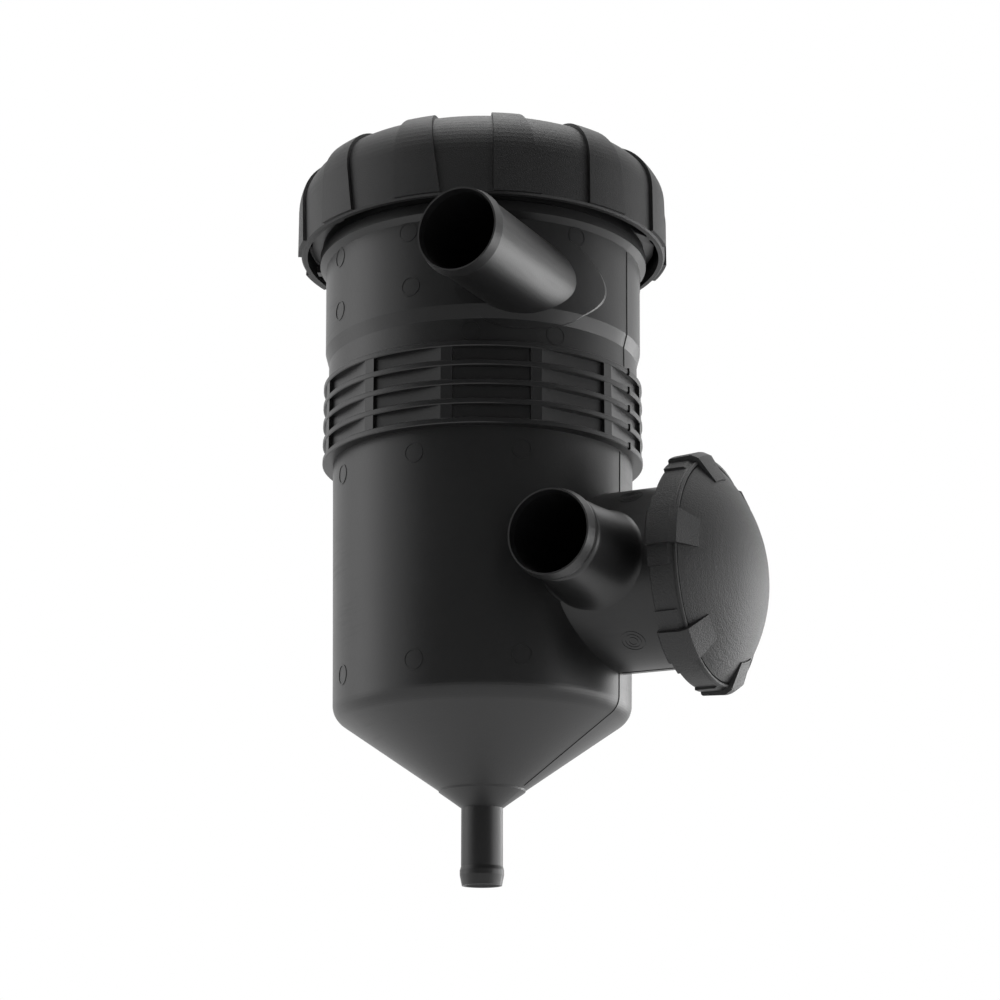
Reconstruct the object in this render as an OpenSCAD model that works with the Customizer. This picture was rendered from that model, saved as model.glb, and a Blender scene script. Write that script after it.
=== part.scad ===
// Oil separator for crankcase gas, with a screw lid, a filter element and a side control valve.
// Millimetres. The origin is on the body axis, in the middle of the clamp belt.
// +Z points to the lid, +X to the side valve chamber, and the two hose spigots point to -Y.

/* [Body] */
// Radius of the housing just below the clamp belt
body_r = 53.2; // [51.5:0.1:54]
// Wall of the moulded housing
wall = 2.8; // [2.2:0.1:3.4]
// Draft of the lower housing wall, in degrees
draft = 1.0; // [0.5:0.1:1.5]
// Depth of the cone's upper edge below the origin
cone_top_drop = 103.9; // [95:0.1:120]
// Slope of the cone from the horizontal, in degrees
cone_slope = 34.6; // [28:0.1:42]
// Radius of the rounding between wall and cone
shoulder_r = 7; // [3:0.5:9]
// Radius of the raised boss at the foot of the cone
cone_boss_r = 14.9; // [12:0.1:18]
// How far that boss stands proud of the cone
cone_boss_rise = 0.4; // [0.2:0.1:0.8]

/* [Clamp belt] */
// Outer radius of the belt rings
ring_r = 56.9; // [56:0.1:60]
// Distance from ring to ring
ring_pitch = 6.75; // [6:0.05:7.5]
// Thickness of a ring
ring_t = 2; // [1.5:0.1:2.6]
// Number of rings
ring_count = 5; // [5, 7]
// Number of sawtooth facets round the belt, with its two pockets
facet_count = 12; // [12:2:18]
// Angle of the front and back pockets between the facets
pocket_angle = 27; // [20:1:28]
// Angle from the spigot side to the middle of the front pocket
facet_turn = 30; // [0:1:60]
// Angle of the plain land on a facet's tip
facet_land = 4; // [3:0.1:5]
// Depth of the step at a facet's tip
facet_step = 1.35; // [1:0.05:1.5]
// How far the facet tips stay inside the rings
facet_inset = 0.25; // [0.1:0.05:0.5]

/* [Upper body] */
// Radius just above the belt
waist_r = 55.2; // [54.6:0.1:56]
// Radius above the bevel band
upper_r = 56.5; // [56.1:0.1:57]
// Radius of the upper body under the collar
upper_top_r = 56.9; // [56.6:0.1:58]
// Height of the bevel band's lower edge
band_low = 22.6; // [20:0.1:24]
// Height of the bevel band's upper edge
band_high = 27.4; // [25:0.1:28.5]
// Height of the collar's lower edge
collar_z = 60.4; // [58:0.1:66]
// Height of the collar band
collar_h = 4; // [3:0.1:5]
// How far the collar stands out from the body
collar_out = 2.2; // [1.5:0.1:2.6]
// Height of the neck above the collar
neck_h = 19.6; // [19:0.1:22]
// How far the neck stands inside the collar
neck_inset = 0.8; // [0.6:0.1:1.2]
// Angle of the stop lug on the collar
lug_turn = 202; // [180:1:220]
// Width of the stop lugs on collar and lid
lug_w = 4; // [3:0.5:6]
// Radius of the sealing bore in the neck
neck_bore_r = 54.2; // [53.8:0.1:54.6]
// Depth of the sealing bore
neck_bore_depth = 17; // [15:0.5:19]

/* [Lid] */
// Radius of the lid between the grip pads
lid_r = 66; // [65.5:0.1:68]
// How far a grip pad stands proud
pad_rise = 1.2; // [0.5:0.1:1.6]
// Number of grip pads
pad_count = 12; // [8:1:16]
// Share of the pitch that a pad takes
pad_share = 0.48; // [0.35:0.01:0.6]
// Lean of the slanting pad edge, in degrees
pad_lean = 8; // [0:1:10]
// Radius at which the pads run out on the lid's roof
pad_end_r = 30; // [26:1:36]
// Wall of the lid between the grip pads
lid_wall = 2.2; // [2:0.1:2.6]
// Number of stiffening ribs under the lid's top
rib_count = 12; // [6:1:16]
// Angle of the first small lug inside the lid's rim
rim_lug_turn = 245; // [240:1:250]
// Gap between the collar's lower edge and the lid's rim
rim_gap = 3.3; // [2.5:0.1:3.8]
// Height of the lid
lid_h = 41.2; // [39:0.1:44]
// Radius of the lid's rounded shoulder
lid_shoulder = 17.5; // [14:0.5:18]
// Slope of the lid's roof, in degrees
roof_slope = 12.7; // [10:0.1:15]
// Depth of the ring that plugs the neck
plug_h = 10; // [9:0.5:12]
// Clearance of that ring in the neck
plug_gap = 0.4; // [0.3:0.05:0.6]
// Wall of the plug ring
plug_wall = 4.4; // [4:0.1:5]
// Thickness of the lid's O-ring
o_ring_d = 3.2; // [2.8:0.1:3.6]
// Clearance of the O-ring in its groove and in the neck
o_ring_gap = 0.06; // [0.03:0.01:0.1]

/* [Lid thread] */
// Rise of the thread in one turn
thread_lead = 12; // [11:0.5:12.5]
// Number of thread starts
thread_starts = 2; // [2]
// Width of a thread ridge at its crest
ridge_crest = 1.5; // [1.2:0.1:1.7]
// Width of a thread ridge at its foot
ridge_foot = 3.6; // [3.2:0.1:3.8]
// Gap from the neck ridge's crest to the lid's wall
neck_crest_gap = 1.6; // [1.4:0.1:1.9]
// Gap from the lid ridge's crest to the neck's wall
lid_crest_gap = 1.6; // [1.4:0.1:1.9]
// Turns of each ridge on the neck
neck_turns = 1.1; // [0.8:0.05:1.1]
// Turns of each ridge in the lid
lid_turns = 0.4; // [0.3:0.05:0.5]

/* [Hose spigots] */
// Bore of a hose spigot
hose_bore = 26.4; // [22:0.2:26.6]
// Wall of a hose spigot
hose_wall = 1.2; // [1:0.1:2.4]
// Height of the bead at a spigot's mouth
bead_rise = 0.6; // [0.4:0.1:1]
// Length of the bead and its lead-in
bead_len = 5; // [4:0.5:7]
// How far the bore opens at the mouth
mouth_flare = 0.5; // [0.2:0.1:0.8]
// Sideways place of the inlet spigot
inlet_x = 35.5; // [31:0.1:37]
// Height of the inlet spigot
inlet_z = 39; // [38.6:0.1:43]
// Distance of the inlet's mouth from the body axis
inlet_reach = 88.8; // [80:0.1:95]
// Radius of the flat pad round the inlet's root
inlet_pad_r = 19.5; // [17:0.5:20]
// How far that pad stands proud
inlet_pad_rise = 0.35; // [0.2:0.05:0.6]
// Sideways place of the outlet spigot
outlet_x = 54.4; // [53.6:0.1:56]
// Height of the outlet spigot
outlet_z = -57.6; // [-60:0.1:-56]
// Distance of the outlet's mouth from the body axis
outlet_reach = 61.1; // [56:0.1:68]
// How far the outlet's blind end lies behind the chamber's axis
outlet_inner = 13; // [12:0.5:15]

/* [Drain spigot] */
// Outer radius of the drain spigot
drain_r = 7.15; // [7:0.05:8]
// Bore of the drain spigot
drain_bore = 11; // [10:0.1:11.4]
// Length of the drain spigot below the cone
drain_len = 27; // [22:0.5:34]
// Height of the drain's bead
drain_bead_rise = 0.4; // [0.3:0.05:0.6]
// Length of the drain's bead and its lead-in
drain_bead_len = 6.5; // [5:0.5:8]
// How far the drain's bore opens at the mouth
drain_flare = 0.85; // [0.4:0.05:0.9]

/* [Side chamber] */
// Height of the chamber's axis
chamber_z = -61.8; // [-63:0.1:-60.5]
// Outer radius of the chamber
chamber_r = 31; // [30:0.1:32.5]
// Distance of the chamber's end face from the body axis
chamber_reach = 84.3; // [83:0.1:90]
// Radius of the flange that the cover snaps over
flange_r = 36; // [35:0.1:36.5]
// Thickness of that flange
flange_t = 3.4; // [3:0.1:4]
// Bore of the seat tube
seat_bore = 20; // [18:0.5:21]
// Wall of the seat tube
seat_wall = 2.2; // [1.8:0.1:2.6]
// Travel of the control valve
control_travel = 5; // [4:0.5:6]

/* [Valve cover] */
// Gap between flange and cover
cover_gap = 0.35; // [0.2:0.05:0.5]
// Wall of the cover
cover_wall = 2; // [1.6:0.1:2.4]
// Rise of the dome
dome_rise = 14.3; // [12:0.1:17]
// Depth of the cover's rim
rim_depth = 9.4; // [8.5:0.1:10]
// Number of snap clips
clip_count = 6; // [4:1:8]
// Width of a clip as an angle
clip_angle = 18; // [14:1:22]
// Width of the step beside a clip as an angle
tab_angle = 10; // [6:1:11]
// Angle of the first clip from the top
clip_turn = 18.5; // [0:0.5:30]
// How far a clip stands proud of the rim
clip_rise = 2.5; // [1.4:0.1:2.8]
// How far the step beside a clip stands proud
tab_rise = 0.8; // [0.5:0.1:1.2]

/* [Diaphragm valve] */
// Thickness of the rubber diaphragm
rubber_t = 1; // [0.8:0.1:1.2]
// Radius of the plate on the diaphragm
plate_r = 19.5; // [18:0.1:20.5]
// Thickness of the plate
plate_t = 1.8; // [1.4:0.1:2.2]
// Radius of the washer on the seat side
washer_r = 8; // [7:0.1:8.5]
// Thickness of the washer
washer_t = 1.2; // [1:0.1:1.4]
// Radius of the convolution's half round
roll_r = 2.6; // [2.2:0.1:3]
// Wire of the control spring
control_wire = 1.1; // [0.8:0.1:1.4]
// Turns of the control spring
control_turns = 3.5; // [3:0.5:5]

/* [Relief valve] */
// Radius of the well in the lid
well_r = 17; // [15:0.5:19]
// Depth of the well
well_depth = 17; // [16:0.5:18]
// Radius of the relief opening
relief_bore_r = 8; // [6:0.5:9]
// Travel of the relief valve
relief_travel = 3; // [2:0.5:3.5]
// Radius of the relief disc
relief_disc_r = 12.5; // [11.5:0.5:13]
// Thickness of the relief seal
relief_seal_t = 1.6; // [1.2:0.1:2]
// Wire of the relief spring
relief_wire = 1.3; // [1:0.1:1.5]
// Turns of the relief spring
relief_turns = 4.5; // [3:0.5:5]
// Number of vent slots in the well's cap
vent_count = 8; // [6:1:10]

/* [Filter element] */
// Outer radius of the filter element's drain sleeve
sleeve_r = 37.5; // [34:0.5:38]
// Thickness of the drain sleeve
sleeve_t = 2; // [1.5:0.1:2.5]
// Thickness of the outer cage
cage_t = 1.6; // [1.4:0.1:2]
// Thickness of the fleece
fleece_t = 15; // [12:0.5:17]
// Wall of the core
core_t = 2; // [1.6:0.1:2.4]
// Length of the fleece
fleece_len = 104; // [96:0.5:108]
// Thickness of the end caps
cap_t = 2.2; // [1.8:0.1:2.6]
// Height of the lip round a fleece end
lip_h = 5; // [4:0.5:6]
// Rows of windows in core and cage
window_rows = 8; // [6:1:10]
// Windows in one row of the core
core_windows = 6; // [5:1:8]
// Windows in one row of the outer cage
cage_windows = 12; // [10:1:14]
// Width of a rib between windows
rib_w = 3; // [2:0.5:3.5]
// Height of the pull handle
handle_h = 30; // [26:0.5:32]
// Width of the pull handle's strap
handle_w = 14; // [10:1:18]
// Thickness of the pull handle's strap
handle_t = 3; // [2.5:0.5:4]
// Angle of the pull handle from the chamber side
handle_turn = 29; // [0:1:60]
// Clearance of the element in the housing
element_gap = 0.4; // [0.2:0.05:0.6]
// Thickness of the element's seal ring
element_ring_d = 3; // [2.6:0.1:3.4]

/* [Hidden] */
$fn = 96;
eps = 0.01;
// Gap between pieces that rest on each other
touch = 0.02;
arc_steps = 8;
lid_steps = 14;

// Belt
belt_half = ring_pitch * (ring_count - 1) / 2 + ring_t / 2;
facet_tip_r = ring_r - facet_inset;
facet_deep_r = facet_tip_r - facet_step;

// Lower body, from the belt down to the drain
lower_drop = cone_top_drop - belt_half;
cone_edge_r = body_r - lower_drop * tan(draft);
cone_foot_z = -cone_top_drop - (cone_edge_r - drain_r) * tan(cone_slope);
drain_end_z = cone_foot_z - drain_len;
boss_z = -cone_top_drop - (cone_edge_r - cone_boss_r) * tan(cone_slope);

// Inner faces of the housing. The lower bore keeps its wall both below the belt and at the waist above it.
ledge_z = (band_low + band_high) / 2 - 1;
lower_bore_r = min(body_r, waist_r) - wall;
upper_bore_r = upper_r - wall;
collar_r = upper_top_r + collar_out;
neck_r = collar_r - neck_inset;
neck_top_z = collar_z + collar_h + neck_h;
inner_edge_r = cone_edge_r - wall;
inner_cone_z = -cone_top_drop + wall * 0.4;
inner_foot_z = inner_cone_z - (inner_edge_r - drain_bore / 2) * tan(cone_slope);

// Spigots
hose_r = hose_bore / 2 + hose_wall;
bead_r = hose_r + bead_rise;
chamber_bore_r = chamber_r - wall;
chamber_bore_x = sqrt(lower_bore_r * lower_bore_r - chamber_bore_r * chamber_bore_r) - 2;
blind_wall = 2.4;
inlet_root = 20;
seat_gap = 0.4;
seat_face_x = chamber_reach - control_travel - seat_gap;
seat_r = seat_bore / 2 + seat_wall;
spring_ledge_gap = 2.1;
spring_ledge_x = outlet_x + hose_r + spring_ledge_gap;
spring_ledge_h = 6;
spring_ledge_w = 3.6;

// Lid. A rounded shoulder runs into a sloping roof with a small flat top round the relief valve's cap.
relief_cap_r = well_r + 1.1;
roof_top_r = relief_cap_r + 1.9;
lid_rim_z = collar_z + rim_gap;
lid_top_z = lid_rim_z + lid_h;
lid_in_r = lid_r - lid_wall;
shoulder_end_r = lid_r - lid_shoulder * (1 - sin(roof_slope));
lid_arc_z = roof_z(shoulder_end_r) - lid_shoulder * cos(roof_slope);
pad_angle = 360 / pad_count * pad_share;
rib_h = 6;
rib_t = 1.8;
plug_r = neck_bore_r - plug_gap;
plug_z = neck_top_z - plug_h;
groove_h = o_ring_d + 4 * o_ring_gap;
groove_z = plug_z + 2.4 + groove_h / 2;
o_ring_r = neck_bore_r - o_ring_gap - o_ring_d / 2;
groove_r = o_ring_r - o_ring_d / 2 - o_ring_gap;

// Thread
thread_pitch = thread_lead / thread_starts;
neck_crest_r = lid_in_r - neck_crest_gap;
lid_crest_r = neck_r + lid_crest_gap;
neck_thread_z = collar_z + collar_h + 3.4;
lid_thread_z = lid_rim_z + ridge_foot / 2 + 1.2;
lid_thread_turn = (lid_thread_z - neck_thread_z) / thread_lead * 360 + 180 / thread_starts;
ridge_step = 10;

// Relief valve in the lid
well_floor_z = lid_top_z - well_depth;
relief_seal_z = well_floor_z + 1.2;
relief_disc_z = relief_seal_z + relief_seal_t;
relief_disc_t = 2.2;
relief_boss_h = 1.6;
relief_spring_r = 8.6;
relief_spring_z = relief_disc_z + relief_disc_t + touch;
relief_cap_t = 2.4;
relief_cap_z = lid_top_z - relief_cap_t - 0.6;
relief_stop_z = relief_disc_z + relief_disc_t + relief_boss_h + relief_travel + 0.2;

// Cover and diaphragm
cover_in_r = flange_r + cover_gap;
cover_r = cover_in_r + cover_wall;
cover_back_x = chamber_reach - flange_t - cover_gap - 1.3;
cover_edge_x = cover_back_x + rim_depth;
dome_r0 = cover_r - 1.4;
dome_sphere_r = (dome_r0 * dome_r0 + dome_rise * dome_rise) / (2 * dome_rise);
dome_centre_x = cover_edge_x + dome_rise - dome_sphere_r;
dome_in_r = dome_sphere_r - cover_wall;
clamp_in_r = flange_r - 5;
clamp_x = chamber_reach + rubber_t + touch;
diaphragm_r = flange_r - 0.6;
rest_x = chamber_reach;
roll_mid_r = plate_r + roll_r + 0.9;

// Filter element
cage_r = sleeve_r - sleeve_t;
fleece_r = cage_r - cage_t;
core_r = fleece_r - fleece_t;
core_in_r = core_r - core_t;
element_top_z = ledge_z + cap_t;
fleece_top_z = ledge_z - 6;
fleece_low_z = fleece_top_z - fleece_len;
element_neck_r = lower_bore_r - element_gap;
element_ring_r = lower_bore_r - element_ring_d / 2 - o_ring_gap;
lip_r = sleeve_r + 1.6;
leg_in_r = sleeve_r - 6;
leg_len = inner_edge_r - 3 - leg_in_r;

function polar(r, a) = [r * cos(a), r * sin(a)];
function arc(cx, cy, r, a0, a1, n) = [for (i = [0:n]) [cx, cy] + polar(r, a0 + (a1 - a0) * i / n)];
function lower_r(z) = body_r - (-belt_half - z) * tan(draft);
function roof_z(r) = lid_top_z - (r - roof_top_r) * tan(roof_slope);
function roof_in_z(r) = roof_z(r) - lid_wall / cos(roof_slope);

// Outer profile of the housing, from the drain's mouth up to the neck, as radius and height
fillet_a = 90 - cone_slope - draft;
fillet_back = shoulder_r * tan(fillet_a / 2);
fillet_top_z = -cone_top_drop + fillet_back;
function housing_outer() = concat(
    [[0, drain_end_z],
     [drain_r - 0.3, drain_end_z],
     [drain_r + drain_bead_rise, drain_end_z + drain_bead_len * 0.55],
     [drain_r + drain_bead_rise, drain_end_z + drain_bead_len * 0.8],
     [drain_r, drain_end_z + drain_bead_len],
     [drain_r, cone_foot_z - cone_boss_rise * 1.6],
     [cone_boss_r, boss_z - cone_boss_rise * 1.2],
     [cone_boss_r + 0.2, boss_z + 0.14]],
    arc(lower_r(fillet_top_z) - shoulder_r, fillet_top_z, shoulder_r, cone_slope - 90, 0, arc_steps),
    [[body_r, -belt_half],
     [body_r, belt_half - ring_t],
     [waist_r, belt_half - ring_t],
     [waist_r, band_low],
     [upper_r, band_high],
     [upper_top_r, collar_z - 1.8],
     [collar_r, collar_z],
     [collar_r, collar_z + collar_h - 0.5],
     [collar_r - 0.5, collar_z + collar_h],
     [neck_r, collar_z + collar_h],
     [neck_r, neck_top_z - 1],
     [neck_r - 1, neck_top_z],
     [0, neck_top_z]]);

// Inner profile of the housing, from the cone up to the mouth
function housing_inner() = [
    [0, inner_foot_z],
    [drain_bore / 2, inner_foot_z],
    [inner_edge_r - 2, inner_cone_z - 2 * tan(cone_slope)],
    [inner_edge_r, inner_cone_z + 2],
    [lower_bore_r, -belt_half],
    [lower_bore_r, ledge_z],
    [upper_bore_r, ledge_z],
    [upper_bore_r + 0.2, neck_top_z - neck_bore_depth],
    [neck_bore_r, neck_top_z - neck_bore_depth + 1],
    [neck_bore_r, neck_top_z - 0.8],
    [neck_bore_r + 0.8, neck_top_z + eps],
    [0, neck_top_z + eps]];

// A helical ridge that starts at height z0, as one closed solid. Radii run from foot to crest.
module thread_ridge(r_foot, r_crest, z0, turns, start_a) {
    steps = ceil(turns * 360 / ridge_step);
    function fade(i) = min(1, i / 2, (steps - i) / 2);
    function section(i) = let (a = start_a + i * ridge_step, z = z0 + thread_lead * i * ridge_step / 360,
                               rc = r_foot + (r_crest - r_foot) * (0.12 + 0.88 * fade(i)))
        [[r_foot * cos(a), r_foot * sin(a), z - ridge_foot / 2],
         [rc * cos(a), rc * sin(a), z - ridge_crest / 2],
         [rc * cos(a), rc * sin(a), z + ridge_crest / 2],
         [r_foot * cos(a), r_foot * sin(a), z + ridge_foot / 2]];
    points = [for (i = [0:steps]) each section(i)];
    out = r_crest > r_foot;
    sides = [for (i = [0:steps - 1]) for (k = [0:3])
        let (a = 4 * i + k, b = 4 * i + (k + 1) % 4, c = b + 4, d = a + 4)
        each (out ? [[a, c, d], [a, b, c]] : [[a, d, c], [a, c, b]])];
    first = [0, 1, 2, 3];
    ends = [out ? [3, 2, 1, 0] : first, 4 * steps * [1, 1, 1, 1] + (out ? first : [3, 2, 1, 0])];
    polyhedron(points = points, faces = concat(sides, ends), convexity = 8);
}

// A round wire wound about +Z, from height 0 up to h, with its end turns laid flat
module coil(r, wire, turns, h) {
    per_turn = 20;
    sides = 8;
    n = ceil(turns * per_turn);
    lift = h - wire;
    function rise(t) = let (flat = 0.75 / turns)
        t < flat ? 0.12 * t / flat : t > 1 - flat ? 1 - 0.12 * (1 - t) / flat
                 : 0.12 + 0.76 * (t - flat) / (1 - 2 * flat);
    function mid(i) = [r * cos(360 * turns * i / n), r * sin(360 * turns * i / n), wire / 2 + lift * rise(i / n)];
    points = [for (i = [0:n]) for (k = [0:sides - 1])
        let (a = 360 * turns * i / n, b = 360 * k / sides, m = mid(i))
        m + wire / 2 * [cos(b) * cos(a), cos(b) * sin(a), sin(b)]];
    faces = concat([[for (k = [sides - 1:-1:0]) k]],
        [for (i = [0:n - 1]) for (k = [0:sides - 1])
            let (a = i * sides + k, b = i * sides + (k + 1) % sides)
            each [[a, b, a + sides], [b, b + sides, a + sides]]],
        [[for (k = [0:sides - 1]) n * sides + k]]);
    polyhedron(points = points, faces = faces, convexity = 10);
}

// Turns a shape drawn about +Z so that it lies along +X at the chamber's height
module on_chamber() {
    translate([0, 0, chamber_z]) rotate([0, 90, 0]) children();
}

// Sawtooth facets behind the rings. On both sides they climb toward the front pocket, each with a step,
// a plain land on its tip and a flat face that runs down to the next step.
module belt_facets() {
    pitch = (360 - 2 * pocket_angle) / (facet_count - 2);
    steps = [for (k = [0:facet_count / 2 - 2]) let (a = pocket_angle / 2 + k * pitch)
        each [polar(facet_deep_r, a), polar(facet_tip_r, a), polar(facet_tip_r, a + facet_land)]];
    half = concat(steps, [polar(facet_deep_r, 180 - pocket_angle / 2)]);
    other = [for (i = [len(half) - 1:-1:0]) [half[i][0], -half[i][1]]];
    rotate([0, 0, facet_turn - 90])
        translate([0, 0, -belt_half + ring_t / 2]) linear_extrude(2 * belt_half - ring_t) polygon(concat(half, other));
}

module belt_rings() {
    for (i = [0:ring_count - 1])
        translate([0, 0, (i - (ring_count - 1) / 2) * ring_pitch - ring_t / 2])
            rotate_extrude() polygon([[body_r - 1, 0], [ring_r - 0.3, 0], [ring_r, 0.3], [ring_r, ring_t - 0.3],
                                      [ring_r - 0.3, ring_t], [body_r - 1, ring_t]]);
}

// Outside of a hose spigot, drawn along +Z with its mouth at length h
module hose_outside(h) {
    rotate_extrude() polygon([[0, 0], [hose_r, 0], [hose_r, h - bead_len - 0.5], [bead_r, h - bead_len],
                              [bead_r, h - bead_len + 1.2], [hose_r - 0.1, h], [0, h]]);
}

// Bore of a hose spigot with its flared mouth
module hose_inside(h) {
    cylinder(r = hose_bore / 2, h = h);
    translate([0, 0, h - 2.6]) cylinder(r1 = hose_bore / 2, r2 = hose_bore / 2 + mouth_flare, h = 2.6 + eps);
}

// Places a spigot that is drawn along +Z so that it runs to -Y
module toward_front(x, z, y0) {
    translate([x, y0, z]) rotate([90, 0, 0]) children();
}

module housing_shell() {
    rotate_extrude() polygon(housing_outer());
    belt_facets();
    belt_rings();
    intersection() {
        toward_front(inlet_x, inlet_z, 0) cylinder(r = inlet_pad_r, h = upper_top_r);
        rotate_extrude() polygon([[0, belt_half], [waist_r + inlet_pad_rise, belt_half],
                                  [waist_r + inlet_pad_rise, band_low], [upper_r + inlet_pad_rise, band_high],
                                  [upper_top_r + inlet_pad_rise, collar_z - 1.8], [0, collar_z - 1.8]]);
    }
    toward_front(inlet_x, inlet_z, -inlet_root) hose_outside(inlet_reach - inlet_root);
    on_chamber() cylinder(r = chamber_r, h = chamber_reach - 1);
    on_chamber() translate([0, 0, chamber_reach - flange_t]) rotate_extrude()
        polygon([[0, 0], [chamber_r, -1.4], [chamber_r + 1.4, 0], [flange_r - 0.4, 0], [flange_r, 0.4],
                 [flange_r, flange_t - 0.8], [flange_r - 0.8, flange_t], [0, flange_t]]);
    neck_lug();
    for (k = [0:thread_starts - 1])
        thread_ridge(neck_r - 0.6, neck_crest_r, neck_thread_z, neck_turns, k * 360 / thread_starts);
}

// Stop lug under the lid's rim, on the collar
module neck_lug() {
    rotate([0, 0, lug_turn]) translate([collar_r - 1.5, -lug_w / 2, collar_z + 0.5])
        cube([3, lug_w, collar_h - 1.2]);
}

module housing() {
    color([0.07, 0.07, 0.075]) difference() {
        union() {
            difference() {
                housing_shell();
                rotate_extrude() polygon(housing_inner());
                on_chamber() translate([0, 0, chamber_bore_x]) cylinder(r = chamber_bore_r, h = chamber_reach);
            }
            toward_front(outlet_x, outlet_z, outlet_inner) hose_outside(outlet_reach + outlet_inner);
            on_chamber() translate([0, 0, outlet_x]) cylinder(r = seat_r, h = seat_face_x - outlet_x);
            on_chamber() translate([0, 0, spring_ledge_x - spring_ledge_h])
                cylinder(r1 = seat_r, r2 = seat_r + spring_ledge_w, h = spring_ledge_h);
        }
        translate([0, 0, drain_end_z - eps]) cylinder(r = drain_bore / 2, h = inner_foot_z + 1 - drain_end_z);
        translate([0, 0, drain_end_z - eps])
            cylinder(r1 = drain_bore / 2 + drain_flare, r2 = drain_bore / 2, h = 2.2);
        toward_front(inlet_x, inlet_z, -inlet_root) hose_inside(inlet_reach - inlet_root);
        toward_front(outlet_x, outlet_z, outlet_inner - blind_wall)
            hose_inside(outlet_reach + outlet_inner - blind_wall);
        on_chamber() translate([0, 0, outlet_x]) cylinder(r = seat_bore / 2, h = chamber_reach);
    }
}

// Outer profile of the lid at distance d outside the plain surface
function lid_outer(d) = concat(
    [[lid_r + d, lid_rim_z + 0.6], [lid_r + d, lid_arc_z]],
    arc(lid_r - lid_shoulder, lid_arc_z, lid_shoulder + d, 0, 90 - roof_slope, lid_steps));

// Grip pad with one upright edge and one leaning edge. It fades out on the sloping roof.
module lid_pad() {
    difference() {
        rotate_extrude(angle = pad_angle)
            polygon(concat([[lid_r - 1, lid_rim_z + 0.6]], lid_outer(pad_rise),
                           [[pad_end_r, roof_z(pad_end_r)], [pad_end_r, roof_z(pad_end_r) - 1]]));
        rotate([0, 0, pad_angle]) translate([0, 0, lid_rim_z]) rotate([pad_lean, 0, 0])
            translate([0, 0, -lid_h / 4]) cube([lid_r * 2, lid_r / 3, lid_h * 2]);
    }
}

// Stiffening rib under the roof, from the well to the plug ring
module lid_rib() {
    r0 = well_r + 1;
    r1 = plug_r - plug_wall + 1;
    top_z = roof_in_z(roof_top_r);
    rotate([90, 0, 0]) translate([0, 0, -rib_t / 2]) linear_extrude(rib_t)
        polygon([[r0, top_z - rib_h], [r1, roof_in_z(r1) - rib_h], [r1, roof_in_z(r1) + 1],
                 [roof_top_r, top_z + 1], [r0, top_z + 1]]);
}

module lid() {
    color([0.1, 0.1, 0.105]) difference() {
        union() {
            difference() {
                union() {
                    rotate_extrude() polygon(concat([[0, lid_rim_z], [lid_r - 0.6, lid_rim_z]], lid_outer(0),
                                                    [[roof_top_r, lid_top_z], [0, lid_top_z]]));
                    for (i = [0:pad_count - 1]) rotate([0, 0, i * 360 / pad_count]) lid_pad();
                }
                rotate_extrude() polygon(concat(
                    [[0, lid_rim_z - eps], [lid_in_r, lid_rim_z - eps]],
                    arc(lid_r - lid_shoulder, lid_arc_z, lid_shoulder - lid_wall, 0, 90 - roof_slope, lid_steps),
                    [[roof_top_r, roof_in_z(roof_top_r)], [0, roof_in_z(roof_top_r)]]));
            }
            rotate_extrude() polygon([[plug_r - plug_wall, plug_z], [plug_r - 0.8, plug_z], [plug_r, plug_z + 0.8],
                                      [plug_r, groove_z - groove_h / 2], [groove_r, groove_z - groove_h / 2],
                                      [groove_r, groove_z + groove_h / 2], [plug_r, groove_z + groove_h / 2],
                                      [plug_r, roof_in_z(plug_r) + 1],
                                      [plug_r - plug_wall, roof_in_z(plug_r - plug_wall) + 1]]);
            translate([0, 0, well_floor_z - 2]) cylinder(r = well_r + 2, h = well_depth + 1);
            for (k = [0:thread_starts - 1])
                thread_ridge(lid_in_r + 0.4, lid_crest_r, lid_thread_z, lid_turns,
                             lid_thread_turn + k * 360 / thread_starts);
            for (i = [0:2]) rotate([0, 0, rim_lug_turn + i * 120])
                translate([lid_in_r - 1.1, -lug_w / 2, lid_rim_z + 0.3]) cube([2, lug_w, 2.2]);
            for (i = [0:rib_count - 1]) rotate([0, 0, i * 360 / rib_count]) lid_rib();
        }
        translate([0, 0, well_floor_z]) cylinder(r = well_r, h = well_depth + 5);
        translate([0, 0, well_floor_z - 5]) cylinder(r = relief_bore_r, h = 20);
        translate([0, 0, relief_cap_z - touch]) cylinder(r = relief_cap_r + 0.1, h = well_depth);
    }
    color([0.1, 0.1, 0.105]) relief_seat();
}

// Raised seat round the relief opening
module relief_seat() {
    translate([0, 0, well_floor_z - 0.1]) rotate_extrude()
        polygon([[relief_bore_r, 0], [relief_bore_r + 2.4, 0], [relief_bore_r + 1.6, 1.15], [relief_bore_r + 0.6, 1.15]]);
}

module ring(r, d) {
    rotate_extrude() translate([r, 0]) circle(r = d / 2, $fn = 32);
}

module lid_o_ring() {
    color([0.03, 0.03, 0.03]) translate([0, 0, groove_z]) ring(o_ring_r, o_ring_d);
}

module relief_seal() {
    color([0.05, 0.05, 0.05]) translate([0, 0, relief_seal_z]) difference() {
        cylinder(r = relief_disc_r - 0.5, h = relief_seal_t);
        translate([0, 0, -1]) cylinder(r = 3, h = 5);
    }
}

module relief_disc() {
    color([0.2, 0.2, 0.21]) translate([0, 0, relief_disc_z]) {
        cylinder(r = relief_disc_r, h = relief_disc_t);
        translate([0, 0, relief_disc_t - eps]) cylinder(r = relief_spring_r - relief_wire, h = relief_boss_h);
        translate([0, 0, -relief_seal_t - 0.6]) cylinder(r = 2.9, h = relief_seal_t + 1);
    }
}

module relief_spring() {
    color([0.6, 0.6, 0.62]) translate([0, 0, relief_spring_z])
        coil(relief_spring_r, relief_wire, relief_turns, relief_cap_z - touch - relief_spring_z);
}

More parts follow.
